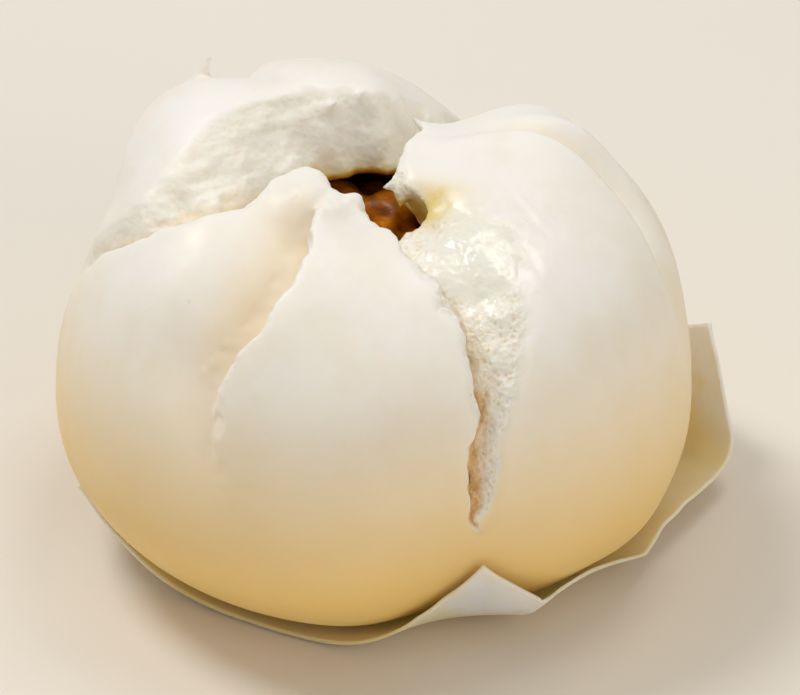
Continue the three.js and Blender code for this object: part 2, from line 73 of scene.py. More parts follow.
PAPER_THICKNESS = 0.35
PAPER_GAP = 0.1
PAPER = {"length": 67.0, "width": 61.5, "turn": 62.0, "x": 6.3, "y": 6.4}
PAPER_FLAT_RADIUS = 22.0
PAPER_FOLD = {"azimuth": 28.0, "distance": 35.0, "angle": 84.0, "bend": 5.0}

# Each row of a tear or pleat gives one value for each STATION_STEP of reach down from the crown.
TEARS = {
    "left": {
        "azimuth": [190, 184, 200, 203.5, 194, 184, 178, 173],
        "slope_side": -1,
        "slope": [9, 11, 14, 9, 4, 3, 2, 1],
        "steep": [2.5, 1.8, 1.4, 1.2, 1.1, 1, 0.9, 0.6],
        "depth": [10, 9.5, 8, 5.5, 3.4, 2.4, 0.9, -2],
        "hollowness": 1.3,
        "rough": 0.45,
    },
    "right": {
        "azimuth": [262, 274, 284, 290.3, 292.3, 292.5, 289.8, 290.5],
        "slope_side": 1,
        "slope": [3, 4.5, 7, 13, 6.5, 3.7, 2.3, 0.3],
        "steep": [2, 1.6, 1.3, 1.2, 1.1, 1, 0.8, 0.3],
        "depth": [13, 12, 4.5, 3, 4.5, 4.5, 4.4, 1.3, -5],
        "hollowness": 0.6,
        "rough": 0.9,
    },
    "back": {
        "azimuth": [76, 62, 57, 57, 57, 56, 53, 52],
        "slope_side": 1,
        "slope": [4, 4.5, 3.5, 2.5, 2, 1.6, 1.2, 1],
        "steep": [2, 2.2, 2, 1.8, 1.5, 1.2, 0.9, 0.6],
        "depth": [12, 10, 7, 4, 3, 2, 0.6, -2],
        "hollowness": 1.3,
        "rough": 0.5,
    },
}

PLEATS = [
    {
        "azimuth": [243, 243, 243.5, 248, 245, 239.3, 241.5, 243],
        "ridge_side": 1,
        "valley": [0, 0.8, 3.8, 5.2, 5.2, 3.8, 1.4, 0],
        "ridge": [0, 0.2, 1, 1.2, 1.1, 0.8, 0.2, 0],
        "valley_width": 8.5,
        "ridge_width": 6,
        "edge": [2.1, 1.7, 1.1, 0.9, 0.9, 1.3, 2.1, 2.1],
        "ragged": 0.7,
    },
    {
        "azimuth": [16, 16, 13, 6, -2, -10, -12, -12],
        "ridge_side": -1,
        "valley": [0, 0.2, 1.6, 2.6, 2.6, 1.7, 0.5, 0],
        "ridge": [0, 0.1, 0.6, 0.9, 0.8, 0.4, 0, 0],
        "valley_width": 5.5,
        "ridge_width": 8,
        "edge": [2.1, 1.8, 1.2, 1.1, 1.3, 1.8, 2.1, 2.1],
    },
    {
        "azimuth": [24, 24, 24, 22, 16, 6, 0, 0],
        "ridge_side": -1,
        "valley": [0, 0, 0.4, 1.6, 2, 1.4, 0.4, 0],
        "ridge": [0, 0, 0.1, 0.5, 0.6, 0.3, 0, 0],
        "valley_width": 5.5,
        "ridge_width": 6,
        "edge": [2.1],
    },
    {
        "azimuth": [134, 132, 127, 123, 121, 120, 119, 118],
        "ridge_side": -1,
        "valley": [0, 0, 0.3, 1.6, 2, 1.4, 0.5, 0],
        "ridge": [0, 0, 0.1, 0.4, 0.5, 0.3, 0, 0],
        "valley_width": 6,
        "ridge_width": 7,
        "edge": [2.1],
    },
    {
        "azimuth": [84, 84, 84, 82, 84, 87, 90, 92],
        "ridge_side": 1,
        "valley": [0, 0, 0, 0, 0.3, 1.8, 1.2, 0],
        "ridge": [0, 0, 0, 0, 0.1, 0.5, 0.3, 0],
        "valley_width": 7,
        "ridge_width": 6,
        "edge": [2.1],
    },
]

# Swells of the skin: azimuth, reach, height, width.
SWELLS = [
    (99, 15.6, 3, 10.4),
    (56, 33.7, -5.7, 11.9),
    (150, 25.9, 4.8, 13.6),
    (26.5, 23.2, 4.7, 9.5),
    (229, 13, 2.6, 4.4),
    (261, 12, -3.2, 5.5),
    (215, 26, 1, 12),
    (172, 39, -1.8, 14),
    (57.4, 18.5, -3.3, 6.8),
    (161, 42.7, -2.4, 9),
    (344, 58, 0.6, 12),
    (304, 13.5, -2.5, 4.2),
    (286, 63, -2.9, 17.8),
    (331, 66.3, 0.9, 10),
]

# For each 30 degrees of azimuth, the opening's half-width at RIM_HEIGHT and its narrowing downwards.
OPENING_RADIUS = [3.6, 4.8, 8.2, 8.7, 8.7, 11, 6.5, 6, 6.6, 5, 2.9, 3]
OPENING_LEAN = [0, 0.2, 0.45, 0.5, 0.5, 0.5, 0.2, 0.15, 0.1, -0.05, -0.5, -0.4]
RIM_HEIGHT = 48.0
OPENING_FLOOR = 31.0
# The opening reaches on under the lip of the right petal.
POCKET = {"x": 4.6, "y": -6.0, "z": 41.2, "across": 4.2, "deep": 2.6, "rise": 5.6}
LIP_ROUNDING = 1.0
SHALLOWEST_TEAR = 0.05
FULLY_ROUGH_DEPTH = 5.0
NOWHERE = -4.0  # a field value well inside the dough, where there is no tear

# Threads and shreds that stand up where dough was pulled apart: foot, tip and thickness at the foot.
SHREDS = [
    ((-19.4, 17.5, 46.4), (-17.9, 17.5, 50.2), 1.0),
    ((-1.6, 9.6, 49.0), (-0.8, 8.9, 51.2), 0.8),
    ((-5.0, 8.2, 49.0), (-3.8, 7.0, 50.8), 0.7),
    ((6.4, 6.8, 47.0), (4.6, 6.2, 49.0), 0.9),
    ((3.2, -2.2, 46.2), (1.2, -3.0, 45.8), 0.8),
]

# Soft spots on the dough: steam-wet, smooth crumb beside the opening, and sauce that seeps past it.
WET = {"at": (12.0, -15.0, 44.0), "width": (7.0, 7.0, 6.0)}
SEEPING = {"at": (7.0, -6.8, 45.5), "width": (4.8, 4.0, 3.4), "share": 0.36}
UNDER_LIP = {"at": (3.8, -4.5, 43.0), "width": (2.4, 2.4, 2.4), "share": 0.75}
SAUCE_FADE = (46, 36)  # heights between which the opening's stain comes in
PAINTED_BOUNCE_FADE = (44, 8)  # and the painted yellow bounce light and shade low on the skin

# Torn dough, coarse to fine: relief height, grain and seed of each layer.
CRAGS = [(0.75, 3.4, 11), (0.4, 1.7, 23), (0.26, 0.9, 31), (0.14, 0.5, 47)]
# How much longer than wide the torn strands are, upwards.
STRAND_STRETCH = 1.7

PORK = [
    {"x": -4, "y": 6, "z": 36.4, "size": 7, "turn": 20},
    {"x": 2.6, "y": 5, "z": 37, "size": 6.5, "turn": 55},
    {"x": -0.2, "y": -1.6, "z": 36, "size": 7, "turn": 10},
    {"x": -6.4, "y": 0.2, "z": 35, "size": 6, "turn": 70},
    {"x": 5.2, "y": -1.4, "z": 35, "size": 6, "turn": 35},
    {"x": 0.5, "y": 10, "z": 34.4, "size": 6, "turn": 40},
]

# How closely the paper clings to the dough's belly: azimuth, width, share.
CLING = [(290, 28, 1.0), (192, 34, 1.0), (100, 40, 0.75), (318, 24, 0.9), (345, 20, 0.5)]
PAPER_TUCK = {"azimuth": 286.0, "width": 28.0, "depth": 2.2}  # the belly is narrower at the front
PAPER_DRAG = {"azimuth": 296.0, "width": 18.0, "turn": 4.0}  # and the corner there lies askew

# The portrait, in metres: each light's place, width and colour, and the camera.
DAYLIGHT = (1.0, 0.985, 0.96)
LIGHTS = {
    "key": ((-0.4, 0.19, 0.79), 0.32, DAYLIGHT),
    "fill": ((0.5, -0.7, 0.45), 0.6, (1.0, 0.94, 0.86)),
    "top": ((0.24, 0.2, 0.88), 0.4, (1.0, 0.96, 0.88)),
}
LIT_POINT = (0, 0, 0.025)
CAMERA_PLACE = (0.00315, -0.815, 0.5624)
CAMERA_ELEVATION = 33.5
CAMERA_LENS = 395.6
CAMERA_SENSOR = 36


# Small mathematics shared by the shapes.
def smooth_step(low, high, value):
    t = np.clip((value - low) / (high - low), 0, 1)
    return t * t * (3 - 2 * t)


def rounded_max(a, b, width):
    near = np.maximum(width - np.abs(a - b), 0) / width
    return np.maximum(a, b) + near * near * width / 4


def along_row(values, place):
    """Catmull-Rom curve through evenly spaced values."""
    values = np.asarray(values, np.float32)
    last = len(values) - 1
    p = np.clip(place, 0, last)
    i = np.minimum(p.astype(np.int32), last - 1)
    t = p - i
    a, b = values[np.maximum(i - 1, 0)], values[i]
    c, d = values[i + 1], values[np.minimum(i + 2, last)]
    return b + 0.5 * t * (c - a + t * (2 * a - 5 * b + 4 * c - d + t * (3 * (b - c) + d - a)))


def at_reach(values, reach):
    return along_row(values, reach / STATION_STEP)


def at_azimuth(values, azimuth):
    n = len(values)
    ring = [values[-1], *values, values[0], values[1]]
    return along_row(ring, 1 + (azimuth % 360) / 360 * n)


def angle_from(azimuth, other):
    return (azimuth - other + 180) % 360 - 180


def corner_value(i, j, k, seed):
    """A repeatable random number from -1 to 1 for each corner of the noise's lattice."""
    h = i.astype(np.uint32) * np.uint32(374761393)
    h ^= j.astype(np.uint32) * np.uint32(668265263)
    h ^= k.astype(np.uint32) * np.uint32(2147483629)
    h = (h ^ np.uint32(seed * 974634777 & 0xFFFFFFFF)) * np.uint32(1274126177)
    h = (h ^ (h >> np.uint32(13))) * np.uint32(1103515245)
    return (h ^ (h >> np.uint32(16))).astype(np.float32) * np.float32(2 / 4294967295) - 1


def noise(x, y, z, seed):
    """Smooth noise from -1 to 1."""
    i, j, k = (np.floor(v).astype(np.int32) for v in (x, y, z))
    u, v, w = ((c * c * (3 - 2 * c)) for c in (x - i, y - j, z - k))

    def row(dj, dk):
        low = corner_value(i, j + dj, k + dk, seed)
        return low + (corner_value(i + 1, j + dj, k + dk, seed) - low) * u

    front, back = row(0, 0), row(0, 1)
    front += (row(1, 0) - front) * v
    back += (row(1, 1) - back) * v
    return front + (back - front) * w


# The form of the dough.
class Place:
    """Points as seen from the middle of the bun."""

    def __init__(self, x, y, z):
        self.x, self.y, self.z = x, y, z
        self.across = np.hypot(x, y)
        up = z - WAIST_HEIGHT
        self.radius = np.hypot(self.across, up)
        self.fall = np.arctan2(self.across, up)
        self.reach = REACH_SCALE * self.fall
        self.azimuth = np.degrees(np.arctan2(y, x))

    def some(self, mask):
        part = Place.__new__(Place)
        for name, values in vars(self).items():
            setattr(part, name, values[mask])
        return part


def plain_radius(fall):
    up = np.cos(fall)
    power = np.where(up > 0, CROWN_SQUARENESS, BELLY_SQUARENESS).astype(np.float32)
    rise = np.where(up > 0, CROWN_RISE, BELLY_DROP).astype(np.float32)
    total = (np.abs(np.sin(fall)) / BUN_RADIUS) ** power + (np.abs(up) / rise) ** power
    return total ** (-1 / power)


def sideways(at, azimuths):
    """Distance along the skin from the line through a row's azimuths, anticlockwise positive."""
    return np.radians(angle_from(at.azimuth, at_reach(azimuths, at.reach))) * at.across


def pleat_height(pleat, at):
    s = sideways(at, pleat["azimuth"]) * pleat["ridge_side"]
    if "ragged" in pleat:
        near = np.abs(s) < 4
        x, y, z = at.x[near], at.y[near], at.z[near]
        s[near] += pleat["ragged"] * (noise(x / 3.4, y / 3.4, z / 3.4, 21) + 0.5 * noise(x, y, z, 22))
    valley = -at_reach(pleat["valley"], at.reach) * np.exp(-((s / pleat["valley_width"]) ** 2))
    ridge = at_reach(pleat["ridge"], at.reach) * np.exp(-((s / pleat["ridge_width"]) ** 2))
    edge = at_reach(pleat["edge"], at.reach) if len(pleat["edge"]) > 1 else pleat["edge"][0]
    return valley + (ridge - valley) * smooth_step(-edge, edge, s)


def skin_radius(at):
    radius = plain_radius(at.fall)
    for azimuth, reach, height, width in SWELLS:
        away = np.cos(np.radians(angle_from(at.azimuth, azimuth)))
        square = at.reach**2 + reach**2 - 2 * at.reach * reach * away
        radius += height * np.exp(-square / width**2)
    for pleat in PLEATS:
        radius += pleat_height(pleat, at)
    return radius


def tear_air(tear, at, below_skin, rough, wander):
    depth = at_reach(tear["depth"], at.reach)
    real_depth = np.maximum(depth, SHALLOWEST_TEAR)
    s = sideways(at, tear["azimuth"]) * tear["slope_side"] + wander
    slope = at_reach(tear["slope"], at.reach)
    steep = at_reach(tear["steep"], at.reach)
    share = np.maximum(s, 0) / slope
    clear = real_depth * (1 - share ** tear["hollowness"]) - below_skin
    slope_air = clear / np.hypot(1, real_depth / slope)
    steep_air = (s + steep * (1 - below_skin / real_depth)) / np.hypot(1, steep / real_depth)
    air = np.minimum(slope_air, steep_air) + rough * np.clip(real_depth / FULLY_ROUGH_DEPTH, 0, 1)
    return np.where(depth < SHALLOWEST_TEAR, NOWHERE, air)


def opening_air(at):
    lean = at_azimuth(OPENING_LEAN, at.azimuth)
    radius = at_azimuth(OPENING_RADIUS, at.azimuth) - lean * (RIM_HEIGHT - at.z)
    shaft = np.minimum(radius - at.across, at.z - OPENING_FLOOR)
    dx = (at.x - POCKET["x"]) / POCKET["across"]
    dy = (at.y - POCKET["y"]) / POCKET["deep"]
    dz = (at.z - POCKET["z"]) / POCKET["rise"]
    pocket = (1 - np.sqrt(dx**2 + dy**2 + dz**2)) * POCKET["deep"]
    return rounded_max(shaft, pocket, LIP_ROUNDING)


def hollow_air(x, y, z):
    across = np.hypot(x - HOLLOW["x"], y - HOLLOW["y"]) / HOLLOW["across"]
    return (1 - np.hypot(across, (z - HOLLOW["z"]) / HOLLOW["rise"])) * HOLLOW["rise"]


def soft_spot(spot, x, y, z):
    """1 in the middle of a spot, falling off to 0 round it."""
    x, y, z = ((v - middle) / width for v, middle, width in zip((x, y, z), spot["at"], spot["width"]))
    return np.exp(-(x**2 + y**2 + z**2))


def add_shred(field, foot, tip, thick, x, y, z):
    """Joins a tapering thread on to a field, where its points are near."""
    near = (x - foot[0]) ** 2 + (y - foot[1]) ** 2 + (z - foot[2]) ** 2 < 49
    along = [b - a for a, b in zip(foot, tip)]
    off = [v[near] - a for v, a in zip((x, y, z), foot)]
    share = sum(d * o for d, o in zip(along, off)) / sum(d * d for d in along)
    share = np.clip(share, 0, 1)
    gap = np.sqrt(sum((o - share * d) ** 2 for d, o in zip(along, off)))
    field[near] = -rounded_max(-field[near], thick * (1 - 0.8 * share) - gap, 0.9)


def dough_field(x, y, z):
    """Below zero inside the dough."""
    at = Place(x, y, z)
    skin = at.radius - skin_radius(at)
    skin += 0.12 * noise(x / 9, y / 9, z / 9, 3)
    foot = PAPER_THICKNESS + PAPER_GAP - z
    field = rounded_max(skin, foot, FOOT_ROUNDING)
    torn = np.zeros_like(skin)
    for tear in TEARS.values():
        torn = np.maximum(torn, (tear_air(tear, at, -skin, 0, 0) > -3) & (skin < 2))
    torn = torn.astype(bool) | ((opening_air(at) > -3) & (skin < 2))
    near = at.some(torn)
    nx, ny, nz = near.x, near.y, near.z
    rough = np.zeros_like(nx)
    wet = soft_spot(WET, nx, ny, nz)
    for height, grain, seed in CRAGS:
        stretch = STRAND_STRETCH if grain < 2 else 1
        calm = 1 if grain > 3 else 1 - 0.85 * wet
        rough += calm * height * noise(nx / grain, ny / grain, nz / grain / stretch, seed)
    wander = 0.8 * noise(nx / 5, ny / 5, nz / 5, 61) + 0.5 * noise(nx / 1.9, ny / 1.9, nz / 1.9, 67)
    wander += 0.22 * noise(nx / 0.8, ny / 0.8, nz / 0.8, 69)
    part = field[torn]
    for tear in TEARS.values():
        s = sideways(near, tear["azimuth"])
        fibres = 0.3 * noise(near.reach / 4.5, s / 1.1, near.radius / 2, 41)
        fibres += 0.16 * noise(near.reach / 2, s / 0.5, near.radius / 1.2, 43)
        fibres *= 1 - 0.85 * wet
        air = tear_air(tear, near, -skin[torn], rough * tear["rough"] + fibres, wander)
        part = rounded_max(part, air, LIP_ROUNDING)
    flutes = 0.55 * noise(nx / 2.3, ny / 2.3, nz / 7, 47)
    part = rounded_max(part, opening_air(near) + 0.6 * rough + flutes, LIP_ROUNDING)
    field[torn] = part
    for foot, tip, thick in SHREDS:
        add_shred(field, foot, tip, thick, x, y, z)
    return rounded_max(field, hollow_air(x, y, z), LIP_ROUNDING)


# The form of the filling.
def pork_field(piece, x, y, z):
    turn = math.radians(piece["turn"])
    dx, dy = x - piece["x"], y - piece["y"]
    rounding = piece["size"] * 0.28
    half = piece["size"] / 2 - rounding
    a = np.abs(dx * math.cos(turn) + dy * math.sin(turn)) - half
    b = np.abs(dy * math.cos(turn) - dx * math.sin(turn)) - half
    c = np.abs(z - piece["z"]) - half * 0.8
    outside = np.sqrt(np.maximum(a, 0) ** 2 + np.maximum(b, 0) ** 2 + np.maximum(c, 0) ** 2)
    return outside + np.minimum(np.maximum(np.maximum(a, b), c), 0) - rounding


def filling_field(x, y, z):
    """Below zero inside the filling."""
    field = z - SAUCE_LEVEL
    for piece in PORK:
        field = -rounded_max(-field, -pork_field(piece, x, y, z), 1.2)
    field = field + 0.2 * noise(x / 2.2, y / 2.2, z / 2.2, 5) + 0.1 * noise(x / 0.8, y / 0.8, z / 2, 9)
    return np.maximum(field, FILLING_GAP - hollow_air(x, y, z))


# Turning a field into a mesh.
def sample_band(field, low, high, cell, coarse=4, margin=2.6):
    """Values of a field on a grid: exact near its surface, and of the right sign everywhere."""
    counts = [int(math.ceil((b - a) / (cell * coarse))) + 1 for a, b in zip(low, high)]
    axes = [a + np.arange(n) * cell * coarse for a, n in zip(low, counts)]
    grid = np.meshgrid(*[a.astype(np.float32) for a in axes], indexing="ij")
    rough = field(*[g.ravel() for g in grid]).reshape(counts)
    values = rough.astype(np.float32)
    for axis in range(3):
        values = np.repeat(values, coarse, axis=axis)
    near = np.abs(values) < margin * coarse * cell
    index = np.nonzero(near)
    points = [np.float32(a) + i.astype(np.float32) * np.float32(cell) for a, i in zip(low, index)]
    exact = np.empty(len(points[0]), np.float32)
    chunk = 400000
    for start in range(0, len(exact), chunk):
        part = slice(start, start + chunk)
        exact[part] = field(*[p[part] for p in points])
    values[index] = exact
    return values


def surface_net(values, low, cell):
    """Vertices and quads of the surface between the grid's negative and positive values."""
    inside = values < 0
    cube = [(dx, dy, dz) for dx in (0, 1) for dy in (0, 1) for dz in (0, 1)]
    shape = tuple(n - 1 for n in values.shape)

    def corner(array, offset):
        return array[tuple(slice(o, o + n) for o, n in zip(offset, shape))]

    count = sum(corner(inside, c).astype(np.uint8) for c in cube)
    cells = np.nonzero((count > 0) & (count < 8))
    number = np.full(shape, -1, np.int32)
    number[cells] = np.arange(len(cells[0]), dtype=np.int32)
    level = {c: values[tuple(i + o for i, o in zip(cells, c))] for c in cube}
    total = np.zeros((len(cells[0]), 3), np.float32)
    crossings = np.zeros(len(cells[0]), np.float32)
    for a in cube:
        for axis in range(3):
            if a[axis]:
                continue
            b = tuple(o + (n == axis) for n, o in enumerate(a))
            va, vb = level[a], level[b]
            cut = (va < 0) != (vb < 0)
            t = np.where(cut, va / np.where(cut, va - vb, 1), 0)
            for n in range(3):
                total[:, n] += np.where(cut, a[n] + (t if n == axis else 0), 0)
            crossings += cut
    places = total / crossings[:, None] + np.stack(cells, 1)
    points = np.asarray(low, np.float32) + places * cell
    quads = []
    for axis in range(3):
        u, v = (axis + 1) % 3, (axis + 2) % 3
        ahead = np.roll(inside, -1, axis)
        edges = inside != ahead
        for n in range(3):
            trim = [slice(None)] * 3
            trim[n] = slice(-1, None)
            edges[tuple(trim)] = False
            if n != axis:
                trim[n] = slice(0, 1)
                edges[tuple(trim)] = False
        at = np.nonzero(edges)
        ring = []
        for du, dv in ((1, 1), (0, 1), (0, 0), (1, 0)):
            place = list(at)
            place[u] = at[u] - du
            place[v] = at[v] - dv
            ring.append(number[tuple(place)])
        faces = np.stack(ring, 1)
        flip = ~inside[at]
        faces[flip] = faces[flip][:, ::-1]
        quads.append(faces)
    return points, np.concatenate(quads)


def largest_body(points, faces):
    """The vertices and faces of the biggest connected piece: loose scraps fall away."""
    label = np.arange(len(points))
    pairs = np.concatenate([faces[:, [n, (n + 1) % faces.shape[1]]] for n in range(faces.shape[1])])
    while True:
        lowest = np.minimum(label[pairs[:, 0]], label[pairs[:, 1]])
        new = label.copy()
        np.minimum.at(new, pairs[:, 0], lowest)
        np.minimum.at(new, pairs[:, 1], lowest)
        new = new[new]
        if (new == label).all():
            break
        label = new
    biggest = np.bincount(label).argmax()
    keep = label == biggest
    number = np.cumsum(keep) - 1
    return points[keep], number[faces[keep[faces[:, 0]]]]


def make_mesh(name, points, faces):
    """A mesh object from points in millimetres and faces that all have as many corners."""
    mesh = bpy.data.meshes.new(name)
    corners = faces.shape[1]
    mesh.vertices.add(len(points))
    mesh.vertices.foreach_set("co", (points * MM).astype(np.float32).ravel())
    mesh.loops.add(faces.size)
    mesh.loops.foreach_set("vertex_index", faces.astype(np.int32).ravel())
    mesh.polygons.add(len(faces))
    mesh.polygons.foreach_set("loop_start", np.arange(0, faces.size, corners, dtype=np.int32))
    mesh.update(calc_edges=True)
    mesh.validate()
    mesh.polygons.foreach_set("use_smooth", np.full(len(mesh.polygons), True))
    obj = bpy.data.objects.new(name, mesh)
    bpy.context.scene.collection.objects.link(obj)
    return obj


def apply_modifiers(obj):
    """Turns an object's modifiers into mesh."""
    evaluated = obj.evaluated_get(bpy.context.evaluated_depsgraph_get())
    mesh = bpy.data.meshes.new_from_object(evaluated)
    obj.modifiers.clear()
    old = obj.data
    obj.data = mesh
    mesh.name = obj.name
    bpy.data.meshes.remove(old)


def thin_out(obj, triangles):
    """Merges faces where the surface is flat until about so many triangles are left."""
    obj.data.calc_loop_triangles()
    made = len(obj.data.loop_triangles)
    if made <= triangles:
        return
    modifier = obj.modifiers.new("thin", "DECIMATE")
    modifier.ratio = triangles / made
    modifier.use_collapse_triangulate = True
    apply_modifiers(obj)


def vertices_mm(obj):
    places = np.empty(len(obj.data.vertices) * 3, np.float32)
    obj.data.vertices.foreach_get("co", places)
    return places.reshape(-1, 3).T / MM


def paint(obj, name, values):
    """Stores one number for each vertex, for the materials to read."""
    layer = obj.data.attributes.new(name, "FLOAT", "POINT")
    layer.data.foreach_set("value", np.clip(values, 0, 1).astype(np.float32))


def dress(obj, node, material):
    """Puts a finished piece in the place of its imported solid."""
    obj.data.materials.clear()
    obj.data.materials.append(material)
    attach(obj, "root")
    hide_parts(node)


# The paper, as a sheet that keeps its lengths.
CLING_STEP = 0.5


def cling_share(azimuth):
    shares = [c[2] * np.exp(-((angle_from(azimuth, c[0]) / c[1]) ** 2)) for c in CLING]
    return np.maximum.reduce(shares)


def belly_slope(across, widest):
    share = (np.minimum(across, 0.985 * widest) / widest) ** BELLY_SQUARENESS
    return np.arctan(BELLY_DROP * share / across * (1 - share) ** (1 / BELLY_SQUARENESS - 1))


def paper_place(x, y):
    """Where points of the flat sheet come to lie."""
    fold = math.radians(PAPER_FOLD["azimuth"])
    past = np.maximum(x * math.cos(fold) + y * math.sin(fold) - PAPER_FOLD["distance"], 0)
    turned = np.minimum(past / PAPER_FOLD["bend"], math.radians(PAPER_FOLD["angle"]))
    straight = past - turned * PAPER_FOLD["bend"]
    forward = PAPER_FOLD["bend"] * np.sin(turned) + straight * np.cos(turned)
    lift = PAPER_FOLD["bend"] * (1 - np.cos(turned)) + straight * np.sin(turned)
    px = x + (forward - past) * math.cos(fold)
    py = y + (forward - past) * math.sin(fold)
    reach = np.hypot(px, py)
    azimuth = np.degrees(np.arctan2(py, px))
    share = cling_share(azimuth)
    tuck = ((angle_from(azimuth, PAPER_TUCK["azimuth"])) / PAPER_TUCK["width"]) ** 2
    widest = BUN_RADIUS - PAPER_TUCK["depth"] * np.exp(-tuck)
    flat = PAPER_FLAT_RADIUS - PAPER_TUCK["depth"] * np.exp(-tuck)
    across = np.minimum(reach, flat)
    rise = np.zeros_like(x)
    left = reach - across
    while (left > 0).any():
        length = np.clip(left, 0, CLING_STEP)
        slope = share * belly_slope(np.maximum(across, 1), widest)
        across = across + length * np.cos(slope)
        rise += length * np.sin(slope)
        left = left - CLING_STEP
    lifted = np.clip((reach - PAPER_FLAT_RADIUS) / 12, 0, 1)
    free = lifted * (1 - share)
    ripple = free * (0.35 + 0.35 * np.sin(np.radians(azimuth) * 9 + 0.6))
    askew = (angle_from(azimuth, PAPER_DRAG["azimuth"]) / PAPER_DRAG["width"]) ** 2
    turned = np.radians(azimuth - PAPER_DRAG["turn"] * lifted * np.exp(-askew))
    return np.stack([across * np.cos(turned), across * np.sin(turned), rise + lift + ripple], -1)


def paper_mesh(cells, wrinkle):
    """Points and faces of the sheet: two alike faces, a thickness apart, closed round the rim."""
    turn = math.radians(PAPER["turn"])
    line = np.arange(cells + 1) / cells - 0.5
    u, v = np.meshgrid(line * PAPER["length"], line * PAPER["width"], indexing="xy")

    def place(du, dv):
        a, b = u + du, v + dv
        x = PAPER["x"] + a * math.cos(turn) - b * math.sin(turn)
        y = PAPER["y"] + a * math.sin(turn) + b * math.cos(turn)
        return paper_place(x, y)

    step = 0.1
    normal = np.cross(place(step, 0) - place(-step, 0), place(0, step) - place(0, -step))
    normal /= np.linalg.norm(normal, axis=-1, keepdims=True)
    base = place(0, 0)
    # Puckers start clear of the part that lies flat under the bun, and only lift the sheet.
    free = smooth_step(26, 34, np.hypot(base[..., 0], base[..., 1]))
    pucker = noise(u / 7, v / 7, u * 0, 71) * 0.5 + noise(u / 2.6, v / 2.6, u * 0, 73) * 0.22
    base = base + normal * (wrinkle * free * pucker)[..., None]
    points = np.concatenate([base.reshape(-1, 3), (base + normal * PAPER_THICKNESS).reshape(-1, 3)])
    n = cells + 1
    index = np.arange(n * n).reshape(n, n)
    a, b = index[:-1, :-1].ravel(), index[:-1, 1:].ravel()
    c, d = index[1:, 1:].ravel(), index[1:, :-1].ravel()
    rim = np.concatenate([index[0, :-1], index[:-1, -1], index[-1, :0:-1], index[:0:-1, 0]])
    after = np.roll(rim, -1)
    top = n * n
    faces = [
        np.stack([a, d, c, b], 1),
        np.stack([a, b, c, d], 1) + top,
        np.stack([rim, after, after + top, rim + top], 1),
    ]
    return points, np.concatenate(faces)


# Materials.
class Nodes:
    """Adds nodes to a tree from left to right."""

    def __init__(self, tree):
        self.tree = tree
        self.count = 0

    def add(self, kind, label="", settings=(), **inputs):
        node = self.tree.nodes.new(kind)
        node.label = label
        node.location = (self.count * 190 - 1200, -(self.count % 3) * 260)
        self.count += 1
        for name, value in dict(settings).items():
            setattr(node, name, value)
        for name, value in inputs.items():
            self.feed(node, name.replace("_", " "), value)
        return node

    def feed(self, node, name, value):
        socket = node.inputs[int(name[1:])] if name[1:].isdigit() else node.inputs[name]
        if isinstance(value, bpy.types.NodeSocket):
            self.tree.links.new(value, socket)
        else:
            socket.default_value = value

    def math(self, operation, a, b=0.0):
        node = self.add("ShaderNodeMath", settings={"operation": operation})
        self.feed(node, "i0", a)
        self.feed(node, "i1", b)
        return node.outputs[0]

    def mix(self, share, a, b):
        node = self.add("ShaderNodeMix", settings={"data_type": "RGBA", "clamp_factor": True})
        self.feed(node, "i0", share)
        self.feed(node, "i6", a)
        self.feed(node, "i7", b)
        return node.outputs[2]

    def span(self, value, low, high, to_low=0.0, to_high=1.0):
        node = self.add(
            "ShaderNodeMapRange",
            settings={"interpolation_type": "SMOOTHSTEP"},
            Value=value,
        )
        for name, number in zip(
            ("From Min", "From Max", "To Min", "To Max"), (low, high, to_low, to_high)
        ):
            node.inputs[name].default_value = number
        return node.outputs[0]

    def ramp(self, value, stops):
        node = self.add("ShaderNodeValToRGB", Fac=value)
        elements = node.color_ramp.elements
        while len(elements) < len(stops):
            elements.new(0.5)
        for element, (place, color) in zip(elements, stops):
            element.position = place
            element.color = (*color, 1)
        return node.outputs[0]

    def attribute(self, name):
        return self.add("ShaderNodeAttribute", label=name, settings={"attribute_name": name}).outputs["Fac"]

    def grain(self, place, scale, detail=3.0, roughness=0.5, distortion=0.0):
        node = self.add("ShaderNodeTexNoise", Vector=place, Scale=scale, Detail=detail)
        node.inputs["Roughness"].default_value = roughness
        node.inputs["Distortion"].default_value = distortion
        return node.outputs["Fac"]

    def place(self):
        return self.add("ShaderNodeTexCoord").outputs["Object"]


def relief_group():
    """Bump from three layers of grain, shared by dough, filling and paper.

    Coarse, Middle and Fine are strengths; Scale is the coarse layer's grains in a metre.
    """
    group = bpy.data.node_groups.new("layered_relief", "ShaderNodeTree")
    face = group.interface
    face.new_socket("Vector", in_out="INPUT", socket_type="NodeSocketVector")
    for name, value in (("Scale", 200.0), ("Coarse", 0.5), ("Middle", 0.3), ("Fine", 0.2), ("Bump", 0.3)):
        face.new_socket(name, in_out="INPUT", socket_type="NodeSocketFloat").default_value = value
    face.new_socket("Height", in_out="OUTPUT", socket_type="NodeSocketFloat")
    nodes = Nodes(group)
    given = nodes.add("NodeGroupInput").outputs
    total = 0.0
    for name, finer in (("Coarse", 1.0), ("Middle", 3.1), ("Fine", 9.7)):
        scale = nodes.math("MULTIPLY", given["Scale"], finer)
        layer = nodes.grain(given["Vector"], scale, 2.0)
        layer = nodes.math("MULTIPLY", layer, nodes.math("DIVIDE", given[name], finer))
        total = nodes.math("ADD", total, layer)
    result = nodes.math("MULTIPLY", total, given["Bump"])
    out = nodes.add("NodeGroupOutput")
    group.links.new(result, out.inputs["Height"])
    return group


def use_relief(nodes, group, place, **values):
    node = nodes.add("ShaderNodeGroup", settings={"node_tree": group}, Vector=place)
    for name, value in values.items():
        nodes.feed(node, name, value)
    return node.outputs["Height"]


